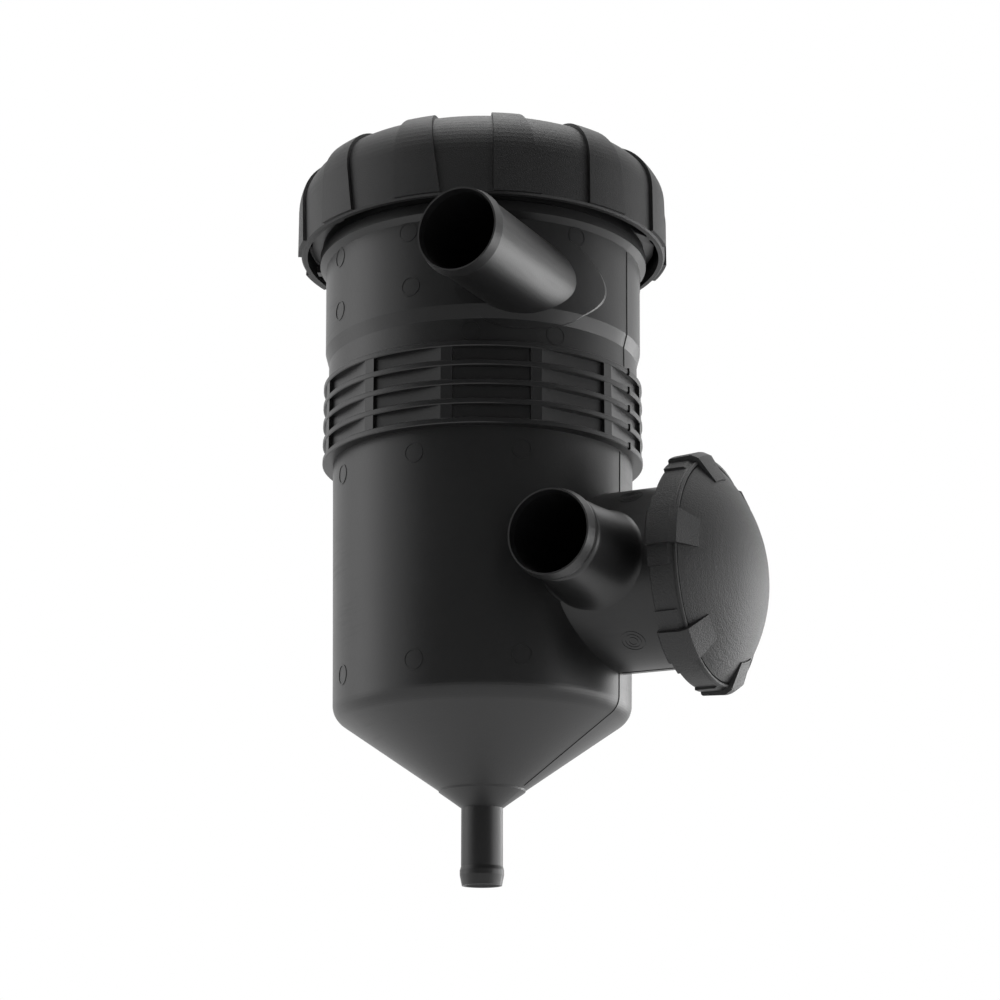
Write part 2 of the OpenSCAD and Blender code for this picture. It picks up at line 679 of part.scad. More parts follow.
// Cap over the well, with vent slots and a stop boss that limits the disc's travel
module relief_cap() {
    color([0.12, 0.12, 0.125]) difference() {
        union() {
            translate([0, 0, relief_cap_z]) cylinder(r = relief_cap_r, h = relief_cap_t);
            translate([0, 0, relief_stop_z]) cylinder(r = 5, h = relief_cap_z + 1 - relief_stop_z);
        }
        for (i = [0:vent_count - 1]) rotate([0, 0, i * 360 / vent_count])
            translate([well_r - 6, -1.2, relief_cap_z - 1]) cube([4.4, 2.4, relief_cap_t + 2]);
        translate([0, 0, relief_cap_z + relief_cap_t - 0.8]) cylinder(r = 7, h = 2);
    }
}

module element_top_cap() {
    low = ledge_z - 6;
    color([0.85, 0.84, 0.78]) difference() {
        union() {
            difference() {
                union() {
                    translate([0, 0, ledge_z]) cylinder(r = upper_bore_r - element_gap, h = cap_t);
                    translate([0, 0, low]) cylinder(r = element_neck_r, h = 6 + eps);
                    translate([0, 0, low - lip_h]) cylinder(r = lip_r, h = lip_h + eps);
                }
                translate([0, 0, low - lip_h - 1]) cylinder(r = sleeve_r + 0.1, h = lip_h + 1);
                translate([0, 0, low + cap_t]) cylinder(r = element_neck_r - 6.4, h = 20);
                translate([0, 0, low + 3]) ring(element_ring_r, element_ring_d + 2 * o_ring_gap);
            }
            handle();
        }
        translate([0, 0, low - 1]) cylinder(r = core_in_r, h = 9);
    }
}

// Pull handle: a flat strap bent into an arch over the element's mouth
module handle() {
    foot = element_neck_r - 5;
    rise = element_top_z + handle_h - handle_t;
    rotate([0, 0, handle_turn]) intersection() {
        translate([0, handle_w / 2, 0]) rotate([90, 0, 0]) linear_extrude(handle_w)
            polygon([[-foot, ledge_z - 2], [-foot + 14, rise], [-foot + 18, rise + handle_t],
                     [foot - 18, rise + handle_t], [foot - 14, rise], [foot, ledge_z - 2],
                     [foot - handle_t - 1, ledge_z - 2], [foot - 17, rise - 1], [foot - 19, rise],
                     [19 - foot, rise], [17 - foot, rise - 1], [handle_t + 1 - foot, ledge_z - 2]]);
        cylinder(r = foot, h = 3 * (element_top_z + handle_h), center = true);
    }
}

module element_seal_ring() {
    color([0.04, 0.04, 0.04]) translate([0, 0, ledge_z - 3]) ring(element_ring_r, element_ring_d);
}

// A moulded tube with rows of windows
module window_tube(r, t, h, n) {
    window_h = (h - rib_w) / window_rows - rib_w;
    difference() {
        cylinder(r = r, h = h);
        translate([0, 0, -1]) cylinder(r = r - t, h = h + 2);
        for (k = [0:window_rows - 1])
            translate([0, 0, rib_w + k * (window_h + rib_w)])
                difference() {
                    cylinder(r = r + 1, h = window_h);
                    for (i = [0:n - 1]) rotate([0, 0, i * 360 / n]) translate([0, -rib_w / 2, -1])
                        cube([r + 2, rib_w, window_h + 2]);
                }
    }
}

module element_core() {
    color([0.8, 0.8, 0.76]) translate([0, 0, fleece_low_z]) window_tube(core_r, core_t, fleece_len, core_windows);
}

module element_cage() {
    color([0.8, 0.8, 0.76]) translate([0, 0, fleece_low_z]) window_tube(cage_r, cage_t, fleece_len, cage_windows);
}

// A plain tube of soft medium with a small gap to its neighbours
module soft_tube(r_out, r_in) {
    gap = 0.05;
    translate([0, 0, fleece_low_z]) difference() {
        cylinder(r = r_out - gap, h = fleece_len);
        translate([0, 0, -1]) cylinder(r = r_in + gap, h = fleece_len + 2);
    }
}

module coalescing_fleece() {
    color([0.92, 0.9, 0.84]) soft_tube(fleece_r, core_r);
}

module drain_sleeve() {
    color([0.9, 0.88, 0.8]) soft_tube(sleeve_r, cage_r);
}

module element_bottom_cap() {
    color([0.85, 0.84, 0.78]) translate([0, 0, fleece_low_z - cap_t]) {
        difference() {
            cylinder(r = lip_r, h = cap_t + lip_h);
            translate([0, 0, cap_t]) cylinder(r = sleeve_r + 0.1, h = 20);
        }
        for (i = [0:3]) rotate([0, 0, 45 + 90 * i]) translate([leg_in_r, -1.2, -4]) cube([leg_len, 2.4, 5]);
    }
}

// Dome profile as radius and distance along the chamber's axis
function dome_line(r, x0, a1, n) = [for (i = [0:n]) let (a = a1 * (1 - i / n)) [r * sin(a), x0 + r * cos(a)]];

module cover_sector(a, profile) {
    rotate([0, 0, -a / 2]) rotate_extrude(angle = a) polygon(profile);
}

module valve_cover() {
    dome_a = asin(dome_r0 / dome_sphere_r);
    dome_in_a = asin((dome_r0 - cover_wall - 0.6) / dome_in_r);
    // A clip wraps the rim, hooks behind the flange and runs a little way up the dome
    clip_r = cover_r + clip_rise;
    pad_end = dome_r0 - 6.2;
    pad_a = asin(pad_end / dome_sphere_r);
    pad_profile = concat(
        [[cover_in_r, cover_back_x - 0.6], [clip_r - 1, cover_back_x - 0.6], [clip_r - 0.4, cover_back_x],
         [clip_r, cover_edge_x - 1.6], [clip_r - 1.4, cover_edge_x + 0.9]],
        [[dome_sphere_r * sin(pad_a), dome_centre_x + dome_sphere_r * cos(pad_a) + 0.5]],
        [[dome_sphere_r * sin(pad_a) - 0.5, dome_centre_x + dome_sphere_r * cos(pad_a) - 0.5]],
        [[cover_in_r + 0.4, cover_edge_x - 1]]);
    hook_profile = [[cover_in_r - 1.6, cover_back_x + 1], [cover_in_r - 1, cover_back_x - 0.6],
                    [cover_in_r + 0.4, cover_back_x - 0.6], [cover_in_r + 0.4, cover_back_x + 1.3],
                    [cover_in_r - 1.6, cover_back_x + 1.3]];
    tab_r = cover_r + tab_rise;
    tab_profile = [[cover_in_r + 0.2, cover_back_x], [tab_r, cover_back_x], [tab_r, cover_edge_x - 2.4],
                   [tab_r - 0.8, cover_edge_x - 1.4], [cover_in_r + 0.2, cover_edge_x - 1.4]];
    color([0.1, 0.1, 0.105]) on_chamber() {
        difference() {
            union() {
                // Rim, roll and dome
                rotate_extrude() polygon(concat(
                    [[0, cover_back_x], [cover_r - 0.4, cover_back_x], [cover_r, cover_back_x + 0.4],
                     [cover_r, cover_edge_x - 1.2], [cover_r - 0.5, cover_edge_x - 0.3], [cover_r - 1.1, cover_edge_x],
                     [dome_r0 + 0.2, cover_edge_x], [dome_r0 + 0.1, cover_edge_x - 0.6]],
                    dome_line(dome_sphere_r, dome_centre_x, dome_a, 14)));
                for (k = [0:clip_count - 1])
                    rotate([0, 0, 180 + clip_turn + k * 360 / clip_count]) {
                        cover_sector(clip_angle, pad_profile);
                        cover_sector(clip_angle + 2 * tab_angle, tab_profile);
                    }
            }
            // Hollow of rim and dome
            rotate_extrude() polygon(concat(
                [[0, cover_back_x - 1], [cover_in_r, cover_back_x - 1], [cover_in_r, clamp_x],
                 [clamp_in_r + 2, clamp_x], [clamp_in_r + 1, clamp_x + 2.4]],
                dome_line(dome_in_r, dome_centre_x, asin((clamp_in_r + 1) / dome_in_r), 14)));
        }
        for (k = [0:clip_count - 1])
            rotate([0, 0, 180 + clip_turn + k * 360 / clip_count]) cover_sector(clip_angle - 2, hook_profile);
    }
}

module diaphragm() {
    color([0.06, 0.06, 0.065]) on_chamber() translate([0, 0, rest_x]) rotate_extrude()
        polygon(concat(
            [[2.2, 0], [plate_r + 0.6, 0]],
            arc(roll_mid_r, 0, roll_r - rubber_t / 2, 180, 0, arc_steps),
            [[diaphragm_r - 0.4, 0], [diaphragm_r, 0.3], [diaphragm_r, rubber_t]],
            arc(roll_mid_r, rubber_t, roll_r + rubber_t / 2, 0, 180, arc_steps),
            [[2.2, rubber_t]]));
}

module diaphragm_plate() {
    color([0.75, 0.74, 0.7]) on_chamber() translate([0, 0, rest_x + rubber_t]) {
        difference() {
            cylinder(r = plate_r, h = plate_t);
            translate([0, 0, plate_t - 0.6]) rotate_extrude() polygon([[6, 0], [plate_r - 2, 0], [plate_r - 2, 2], [6, 2]]);
        }
        for (i = [0:5]) rotate([0, 0, i * 60]) translate([5, -0.7, plate_t - 0.7]) cube([plate_r - 6.5, 1.4, 0.7]);
        translate([0, 0, -rubber_t - washer_t - 1]) cylinder(r = 2, h = rubber_t + washer_t + 1.5);
    }
}

module diaphragm_washer() {
    color([0.75, 0.74, 0.7]) on_chamber() translate([0, 0, rest_x - washer_t]) difference() {
        cylinder(r = washer_r, h = washer_t);
        translate([0, 0, -1]) cylinder(r = 2.05, h = washer_t + 2);
    }
}

module control_spring() {
    color([0.62, 0.62, 0.64]) on_chamber() translate([0, 0, spring_ledge_x + touch])
        coil(seat_r + 1.8, control_wire, control_turns, rest_x - spring_ledge_x - 2 * touch);
}

housing();
lid();
lid_o_ring();
relief_disc();
relief_seal();
relief_spring();
relief_cap();
element_top_cap();
element_seal_ring();
element_core();
coalescing_fleece();
element_cage();
drain_sleeve();
element_bottom_cap();
valve_cover();
diaphragm();
diaphragm_plate();
diaphragm_washer();
control_spring();
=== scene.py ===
# %% [markdown]
# # A black oil separator on white
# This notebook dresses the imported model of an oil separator: a moulded black canister with a screw
# lid, a ribbed belt for its clamp, two hose spigots, a drain cone and a side chamber with a domed
# cover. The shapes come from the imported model. Blender adds the light, the finishes and the small
# moulding detail that a camera sees on such a part.

import math

import bmesh
import bpy
from mathutils import Matrix, Vector


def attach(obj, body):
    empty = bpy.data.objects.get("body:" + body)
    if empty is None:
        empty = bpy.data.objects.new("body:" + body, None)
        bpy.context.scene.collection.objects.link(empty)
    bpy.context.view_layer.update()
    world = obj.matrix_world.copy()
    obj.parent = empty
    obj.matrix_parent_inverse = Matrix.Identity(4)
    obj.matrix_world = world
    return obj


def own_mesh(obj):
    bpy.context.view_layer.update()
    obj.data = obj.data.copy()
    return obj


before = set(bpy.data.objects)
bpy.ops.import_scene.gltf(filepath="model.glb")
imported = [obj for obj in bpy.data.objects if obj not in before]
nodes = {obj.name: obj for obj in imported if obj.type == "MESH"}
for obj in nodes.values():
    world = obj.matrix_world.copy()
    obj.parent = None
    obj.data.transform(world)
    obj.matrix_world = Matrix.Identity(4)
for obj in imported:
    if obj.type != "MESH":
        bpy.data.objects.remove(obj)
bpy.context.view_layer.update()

# %% [markdown]
# ## The camera
# The part is seen from below, as it would hang in an engine bay. The place and the pitch come from
# the ellipses of the clamp belt's rings, which only one camera can draw with that curve. The camera
# stands 27 degrees round from the spigots towards the side chamber.

# %% Camera
VIEW_TURN = math.radians(27.0)
PITCH_UP = math.radians(15.214)
AIM_OFF = math.radians(0.436)
CAMERA_BACK, CAMERA_Z = 0.80752, -0.24549
camera_data = bpy.data.cameras.new("portrait_camera")
camera_data.lens = 85
camera_data.sensor_width = 36
camera = bpy.data.objects.new("portrait_camera", camera_data)
camera.location = (CAMERA_BACK * math.sin(VIEW_TURN), -CAMERA_BACK * math.cos(VIEW_TURN), CAMERA_Z)
camera.rotation_euler = (math.radians(90) + PITCH_UP, 0, VIEW_TURN - AIM_OFF)
bpy.context.scene.collection.objects.link(camera)
bpy.context.scene.camera = camera
print("camera at", [round(v, 4) for v in camera.location])

# %% [markdown]
# ## A white room for a black part
# Black plastic has almost no colour of its own: what the eye reads is the room's reflection in it. A
# photographer would build a tent of white cloth. A world shader does the same without a mesh: it is
# plain white for the camera and for reflections, and dimmer for the light that reaches the part, so
# that the plastic keeps its dark tone. The Light Path node tells these rays apart.

# %% Telling rays apart
def math_node(tree, operation, first, second):
    """A Math node whose inputs are sockets or numbers."""
    node = tree.nodes.new("ShaderNodeMath")
    node.operation = operation
    for place, value in enumerate((first, second)):
        if isinstance(value, bpy.types.NodeSocket):
            tree.links.new(value, node.inputs[place])
        else:
            node.inputs[place].default_value = value
    return node.outputs[0]


def ray_mask(tree, *kinds):
    """A socket that is 1 for rays of these kinds, such as "Is Glossy Ray", and 0 for all others."""
    path = tree.nodes.new("ShaderNodeLightPath")
    mask = path.outputs[kinds[0]]
    for kind in kinds[1:]:
        mask = math_node(tree, "MAXIMUM", mask, path.outputs[kind])
    return mask


# %% Room
ROOM_FILL = 0.35
scene = bpy.context.scene
scene.view_settings.view_transform = "Standard"
world = bpy.data.worlds.new("white_room")
scene.world = world
world.use_nodes = True
room_nodes, room_links = world.node_tree.nodes, world.node_tree.links
room_nodes.clear()
room_mix = room_nodes.new("ShaderNodeMixShader")
room_links.new(
    ray_mask(world.node_tree, "Is Camera Ray", "Is Glossy Ray", "Is Transmission Ray"), room_mix.inputs[0]
)
for place, strength in ((1, ROOM_FILL), (2, 1.0)):
    room_light = room_nodes.new("ShaderNodeBackground")
    room_light.inputs["Color"].default_value = (1, 1, 1, 1)
    room_light.inputs["Strength"].default_value = strength
    room_links.new(room_light.outputs[0], room_mix.inputs[place])
room_links.new(room_mix.outputs[0], room_nodes.new("ShaderNodeOutputWorld").inputs["Surface"])
print("room fill:", ROOM_FILL)

# %% [markdown]
# ## The paper floor
# The part stands over a sheet of white paper, far enough below it to stay out of the portrait. Paper is
# rarely seen evenly lit, and more lamps would spoil the black part. So the paper adds a little light of
# its own for the camera, which leaves the part's soft shadow on it, and it is plain white in
# reflections.

# %% Floor
FLOOR_Z, FLOOR_HALF, PAPER_GLOW = -0.33, 3.0, 0.42


def plain_card(name, tone, roughness):
    """A matt grey studio surface, such as the floor or a flag."""
    mat = bpy.data.materials.new(name)
    mat.use_nodes = True
    shader = mat.node_tree.nodes["Principled BSDF"]
    shader.inputs["Base Color"].default_value = (tone, tone, tone, 1)
    shader.inputs["Roughness"].default_value = roughness
    shader.inputs["Specular IOR Level"].default_value = 0.0
    return mat


def stage_mesh(name, bm, mat):
    """Turns a bmesh into a stage object that isn't part of the separator."""
    mesh = bpy.data.meshes.new(name)
    bm.to_mesh(mesh)
    bm.free()
    obj = bpy.data.objects.new(name, mesh)
    mesh.materials.append(mat)
    scene.collection.objects.link(obj)
    return obj


floor_bm = bmesh.new()
bmesh.ops.create_grid(floor_bm, x_segments=1, y_segments=1, size=FLOOR_HALF)
bmesh.ops.translate(floor_bm, verts=floor_bm.verts, vec=(0, 0, FLOOR_Z))
floor_paper = plain_card("floor_paper", 0.88, 0.9)
floor = stage_mesh("pale_floor", floor_bm, floor_paper)
print("floor:", floor.name)

# %% The paper's own light
paper_tree = floor_paper.node_tree
paper_glow = paper_tree.nodes.new("ShaderNodeEmission")
paper_glow.inputs["Color"].default_value = (PAPER_GLOW, PAPER_GLOW, PAPER_GLOW, 1)
paper_tree.links.new(ray_mask(paper_tree, "Is Camera Ray"), paper_glow.inputs["Strength"])
paper_seen = paper_tree.nodes.new("ShaderNodeAddShader")
paper_tree.links.new(paper_tree.nodes["Principled BSDF"].outputs[0], paper_seen.inputs[0])
paper_tree.links.new(paper_glow.outputs[0], paper_seen.inputs[1])
paper_white = paper_tree.nodes.new("ShaderNodeEmission")
paper_white.inputs["Strength"].default_value = 1.0
paper_mix = paper_tree.nodes.new("ShaderNodeMixShader")
paper_tree.links.new(ray_mask(paper_tree, "Is Glossy Ray", "Is Transmission Ray"), paper_mix.inputs[0])
paper_tree.links.new(paper_seen.outputs[0], paper_mix.inputs[1])
paper_tree.links.new(paper_white.outputs[0], paper_mix.inputs[2])
paper_tree.links.new(paper_mix.outputs[0], paper_tree.nodes["Material Output"].inputs["Surface"])
print("paper glows at", PAPER_GLOW, "for the camera")

# %% [markdown]
# ## A grey flag in front
# A white room all round would turn the plastic grey. Product photographers stand a dark flag on the
# camera's side, and the round body then darkens softly to its middle. The flag is one vertex that is
# spun to an arc and extruded upwards. The plastic's own roughness blurs the flag's edges. It is hidden
# from the camera and throws no shadow, so every view still has a pale background.

# %% Flag
FLAG_RADIUS, FLAG_FOOT, FLAG_HEIGHT = 1.3, -0.32, 1.9
FLAG_LEFT, FLAG_RIGHT = math.radians(56), math.radians(84)
toward = Vector((math.sin(VIEW_TURN), -math.cos(VIEW_TURN), 0))
flag_bm = bmesh.new()
corner = flag_bm.verts.new(toward * FLAG_RADIUS + Vector((0, 0, FLAG_FOOT)))
bmesh.ops.rotate(flag_bm, verts=[corner], cent=(0, 0, 0), matrix=Matrix.Rotation(-FLAG_LEFT, 3, "Z"))
bmesh.ops.spin(
    flag_bm, geom=[corner], cent=(0, 0, 0), axis=(0, 0, 1), angle=FLAG_LEFT + FLAG_RIGHT, steps=24,
    use_merge=False,
)
raised = bmesh.ops.extrude_edge_only(flag_bm, edges=list(flag_bm.edges))["geom"]
bmesh.ops.translate(
    flag_bm, verts=[v for v in raised if isinstance(v, bmesh.types.BMVert)], vec=(0, 0, FLAG_HEIGHT)
)
flag = stage_mesh("grey_flag", flag_bm, plain_card("flag_cloth", 0.28, 1.0))
flag.visible_camera = False
flag.visible_shadow = False
print("flag:", flag.name, "spans", round(math.degrees(FLAG_LEFT + FLAG_RIGHT)), "degrees")


# %% [markdown]
# ## Lamps
# Soft boxes make broad highlights with soft ends, which suit moulded plastic. A weak tall one stands at
# the left, because the white room already draws most of the highlight there. At the right a tall one
# stands well behind the part, for the dome and the right edges. A long low one lies beside the part: the
# undersides of both spigots, the cone and the drain catch it, while the chamber keeps it off the round
# body, which stays dark almost to its edge. An overhead box lights the floor and the lid's top.

# %% Lamps
right = Vector((math.cos(VIEW_TURN), math.sin(VIEW_TURN), 0))
LAMP_AIM = Vector((0, 0, -0.03))


def soft_box(name, place, width, height, watts):
    """A rectangular area lamp at this place, which looks at the part's middle."""
    data = bpy.data.lights.new(name, "AREA")
    data.shape = "RECTANGLE"
    data.size = width
    data.size_y = height
    data.energy = watts
    lamp = bpy.data.objects.new(name, data)
    lamp.location = place
    lamp.rotation_euler = (LAMP_AIM - place).to_track_quat("-Z", "Y").to_euler()
    scene.collection.objects.link(lamp)


soft_box("left_box", -right * 0.95 - toward * 0.1 + Vector((0, 0, 0.05)), 0.5, 1.1, 1.8)
soft_box("right_back_box", right * 0.79 - toward * 0.62 + Vector((0, 0, -0.13)), 0.45, 0.7, 4.4)
soft_box("right_low_box", right * 0.9 + toward * 0.1 + Vector((0, 0, -0.14)), 0.9, 0.3, 3.2)
soft_box("top_box", Vector((0, 0.1, 1.1)), 0.8, 0.8, 7.0)


# %% [markdown]
# ## Node groups for moulded plastic
# A flat black would look like a drawing. The real part shows four effects, and most of its materials
# share them, so each effect is built once as a node group with named inputs, and each material sets
# its own values there. A group puts out only colours and values, and the shader stays in the material.

# %% Group helpers
FLOAT, COLOUR = "NodeSocketFloat", "NodeSocketColor"


def new_group(name, inputs, outputs):
    """An empty shader node group with these named sockets, and its two end nodes."""
    tree = bpy.data.node_groups.new(name, "ShaderNodeTree")
    for label, kind, value in inputs:
        tree.interface.new_socket(name=label, in_out="INPUT", socket_type=kind).default_value = value
    for label, kind in outputs:
        tree.interface.new_socket(name=label, in_out="OUTPUT", socket_type=kind)
    return tree, tree.nodes.new("NodeGroupInput"), tree.nodes.new("NodeGroupOutput")


def own_coords(tree):
    """The piece's own coordinates, in metres, so that a pattern stays put when the piece moves."""
    return tree.nodes.new("ShaderNodeTexCoord").outputs["Object"]


def noise(tree, vector, scale, detail, roughness):
    """A Noise Texture of this scale, which is a number or a socket."""
    node = tree.nodes.new("ShaderNodeTexNoise")
    if isinstance(scale, bpy.types.NodeSocket):
        tree.links.new(scale, node.inputs["Scale"])
    else:
        node.inputs["Scale"].default_value = scale
    node.inputs["Detail"].default_value = detail
    node.inputs["Roughness"].default_value = roughness
    tree.links.new(vector, node.inputs["Vector"])
    return node.outputs["Fac"]


def mixed_colour(tree, factor, first, second):
    """A colour between two sockets, by a factor."""
    node = tree.nodes.new("ShaderNodeMix")
    node.data_type = "RGBA"
    for label, socket in (("Factor", factor), ("A", first), ("B", second)):
        tree.links.new(socket, node.inputs[label])
    return node.outputs["Result"]


# %% [markdown]
# ### Mould grain
# A blasted mould leaves a grain of half a millimetre or less, and a large wall is never quite flat. Both
# are heights, so fine noise and a slow wave are added up and later drive a Bump node.

# %% Mould grain
WAVE_SCALE = 70.0
grain_tree, grain_in, grain_out = new_group(
    "MouldGrain", [("Grain Scale", FLOAT, 2500.0), ("Waviness", FLOAT, 0.2)], [("Height", FLOAT)]
)
grain_coords = own_coords(grain_tree)
fine = noise(grain_tree, grain_coords, grain_in.outputs["Grain Scale"], 3.0, 0.6)
slow = noise(grain_tree, grain_coords, WAVE_SCALE, 1.0, 0.4)
waves = math_node(grain_tree, "MULTIPLY", slow, grain_in.outputs["Waviness"])
grain_tree.links.new(math_node(grain_tree, "ADD", fine, waves), grain_out.inputs["Height"])
print(grain_tree.name, "has", len(grain_tree.nodes), "nodes")

# %% [markdown]
# ### Resin tone
# Tone and gloss drift a little over a large moulding, because the resin cools unevenly. One blend of a
# slow and a fine noise moves both between a low and a high value.

# %% Resin tone
DRIFT_SCALE, SPECK_SCALE, DRIFT_SHARE = 28.0, 420.0, 0.7
tone_tree, tone_in, tone_out = new_group(
    "ResinTone",
    [("Dark", COLOUR, (0.01, 0.01, 0.01, 1)), ("Light", COLOUR, (0.02, 0.02, 0.02, 1)),
     ("Gloss Low", FLOAT, 0.35), ("Gloss High", FLOAT, 0.5)],
    [("Color", COLOUR), ("Roughness", FLOAT)],
)
tone_coords = own_coords(tone_tree)
drift = noise(tone_tree, tone_coords, DRIFT_SCALE, 3.0, 0.55)
speck = noise(tone_tree, tone_coords, SPECK_SCALE, 2.0, 0.5)
drift_part = math_node(tone_tree, "MULTIPLY", drift, DRIFT_SHARE)
speck_part = math_node(tone_tree, "MULTIPLY", speck, 1 - DRIFT_SHARE)
blend = math_node(tone_tree, "ADD", drift_part, speck_part)
tone = mixed_colour(tone_tree, blend, tone_in.outputs["Dark"], tone_in.outputs["Light"])
tone_tree.links.new(tone, tone_out.inputs["Color"])
span = math_node(tone_tree, "SUBTRACT", tone_in.outputs["Gloss High"], tone_in.outputs["Gloss Low"])
gloss_part = math_node(tone_tree, "MULTIPLY", span, blend)
rough = math_node(tone_tree, "ADD", tone_in.outputs["Gloss Low"], gloss_part)
tone_tree.links.new(rough, tone_out.inputs["Roughness"])
print(tone_tree.name, "has", len(tone_tree.nodes), "nodes")

# %% [markdown]
# ### Handling scuffs
# A part that lay in a box has faint dull streaks. A Mapping node squeezes a noise along one direction,
# a second noise keeps the streaks in patches, and what is left raises the roughness.

# %% Handling scuffs
STREAK_TURN, STREAK_SCALE, PATCH_SCALE, STREAK_FLOOR = (0.4, 0.3, 0.2), (60.0, 60.0, 900.0), 22.0, 0.3
scuff_tree, scuff_in, scuff_out = new_group(
    "HandlingScuffs", [("Roughness", FLOAT, 0.4), ("Amount", FLOAT, 0.1)], [("Roughness", FLOAT)]
)
scuff_coords = own_coords(scuff_tree)
stretch = scuff_tree.nodes.new("ShaderNodeMapping")
stretch.inputs["Rotation"].default_value = STREAK_TURN
stretch.inputs["Scale"].default_value = STREAK_SCALE
scuff_tree.links.new(scuff_coords, stretch.inputs["Vector"])
streak = noise(scuff_tree, stretch.outputs["Vector"], 1.0, 2.0, 0.6)
patch = noise(scuff_tree, scuff_coords, PATCH_SCALE, 1.0, 0.5)
kept = math_node(scuff_tree, "SUBTRACT", math_node(scuff_tree, "MULTIPLY", streak, patch), STREAK_FLOOR)
kept.node.use_clamp = True
dulled = math_node(scuff_tree, "MULTIPLY", kept, scuff_in.outputs["Amount"])
scuffed = math_node(scuff_tree, "ADD", scuff_in.outputs["Roughness"], dulled)
scuff_tree.links.new(scuffed, scuff_out.inputs["Roughness"])
print(scuff_tree.name, "has", len(scuff_tree.nodes), "nodes")

# %% [markdown]
# ### Settled dust
# Dust settles on faces that look up. The upward share of the surface's normal is the mask, and a noise
# breaks it into flecks.

# %% Settled dust
FLECK_SCALE = 160.0
dust_tree, dust_in, dust_out = new_group(
    "SettledDust",
    [("Color", COLOUR, (0.01, 0.01, 0.01, 1)), ("Dust", COLOUR, (0.2, 0.19, 0.18, 1)),
     ("Amount", FLOAT, 0.1)],
    [("Color", COLOUR)],
)
upright = dust_tree.nodes.new("ShaderNodeSeparateXYZ")
dust_tree.links.new(dust_tree.nodes.new("ShaderNodeNewGeometry").outputs["Normal"], upright.inputs[0])
facing_up = math_node(dust_tree, "MULTIPLY", upright.outputs["Z"], 1.0)
facing_up.node.use_clamp = True
flecks = noise(dust_tree, own_coords(dust_tree), FLECK_SCALE, 4.0, 0.65)
flecked = math_node(dust_tree, "MULTIPLY", facing_up, flecks)
film = math_node(dust_tree, "MULTIPLY", flecked, dust_in.outputs["Amount"])
dusted = mixed_colour(dust_tree, film, dust_in.outputs["Color"], dust_in.outputs["Dust"])
dust_tree.links.new(dusted, dust_out.inputs["Color"])
print("node groups:", [tree.name for tree in bpy.data.node_groups])


# %% [markdown]
# ### One recipe for moulded pieces
# Every moulded piece is the same sandwich: resin tone, then dust for the colour and scuffs for the
# roughness, and the grain as a bump. Plastics of this kind have an index of refraction near 1.5.

# %% A moulded material
PLASTIC_IOR, DUST_AMOUNT, SCUFF_AMOUNT = 1.5, 0.1, 0.3


def place_group(mat, tree, **values):
    """Places a node group in a material and sets its inputs."""
    node = mat.node_tree.nodes.new("ShaderNodeGroup")
    node.node_tree = tree
    for label, value in values.items():
        node.inputs[label.replace("_", " ")].default_value = value
    return node


def moulded(name, dark, light, gloss, grain_scale, grain_depth, waviness=0.2):
    """A moulded plastic or rubber. Colours are linear, and gloss is the lowest and highest roughness."""
    mat = bpy.data.materials.new(name)
    mat.use_nodes = True
    tree = mat.node_tree
    shader = tree.nodes["Principled BSDF"]
    shader.inputs["IOR"].default_value = PLASTIC_IOR
    resin = place_group(mat, tone_tree, Dark=(*dark, 1), Light=(*light, 1),
                        Gloss_Low=gloss[0], Gloss_High=gloss[1])
    dust = place_group(mat, dust_tree, Amount=DUST_AMOUNT)
    scuffs = place_group(mat, scuff_tree, Amount=SCUFF_AMOUNT)
    grain = place_group(mat, grain_tree, Grain_Scale=grain_scale, Waviness=waviness)
    bump = tree.nodes.new("ShaderNodeBump")
    bump.inputs["Distance"].default_value = grain_depth
    tree.links.new(grain.outputs["Height"], bump.inputs["Height"])
    tree.links.new(resin.outputs["Color"], dust.inputs["Color"])
    tree.links.new(dust.outputs["Color"], shader.inputs["Base Color"])
    tree.links.new(resin.outputs["Roughness"], scuffs.inputs["Roughness"])
    tree.links.new(scuffs.outputs["Roughness"], shader.inputs["Roughness"])
    tree.links.new(bump.outputs["Normal"], shader.inputs["Normal"])
    return mat


# %% [markdown]
# ## The black plastics
# The housing comes from a smooth mould: satin, with long clean highlights. The lid and the cover come from
# a blasted mould, so their highlights are wider and sparkle a little, and the cover is the greyer of the
# two. The seam's line is painted shade: a dull, rough black that stands for the shadow in the fine groove
# where the mould halves meet. It gets almost no mirror shine.

# %% Black plastics
housing_black = moulded("housing_black", (0.009, 0.009, 0.0095), (0.016, 0.016, 0.0165), (0.34, 0.44),
                        1400.0, 0.00003, 0.3)
lid_black = moulded("lid_black", (0.007, 0.007, 0.0075), (0.013, 0.013, 0.0135), (0.46, 0.58),
                    2600.0, 0.00014)
cover_black = moulded("cover_black", (0.013, 0.013, 0.0135), (0.026, 0.026, 0.0265), (0.46, 0.58),
                      1700.0, 0.00026)
# Painted shade: this dull black stands for the shadow in the groove where the mould halves meet.
seam_painted_shade = moulded("seam_painted_shade", (0.003, 0.003, 0.003), (0.006, 0.006, 0.006), (0.8, 0.9),
                     1400.0, 0.00003)
seam_painted_shade.node_tree.nodes["Principled BSDF"].inputs["Specular IOR Level"].default_value = 0.12
print("blacks:", housing_black.name, lid_black.name, cover_black.name, seam_painted_shade.name)

# %% [markdown]
# ## The inner pieces
# The filter element's caps, core and cage are undyed plastic, the seals are rubber and the filter is
# pressed fleece. One recipe does for all three, with other colours, gloss and grain. The springs are
# bright wire, so they take a metal with the resin tone's drift as a faint unevenness.

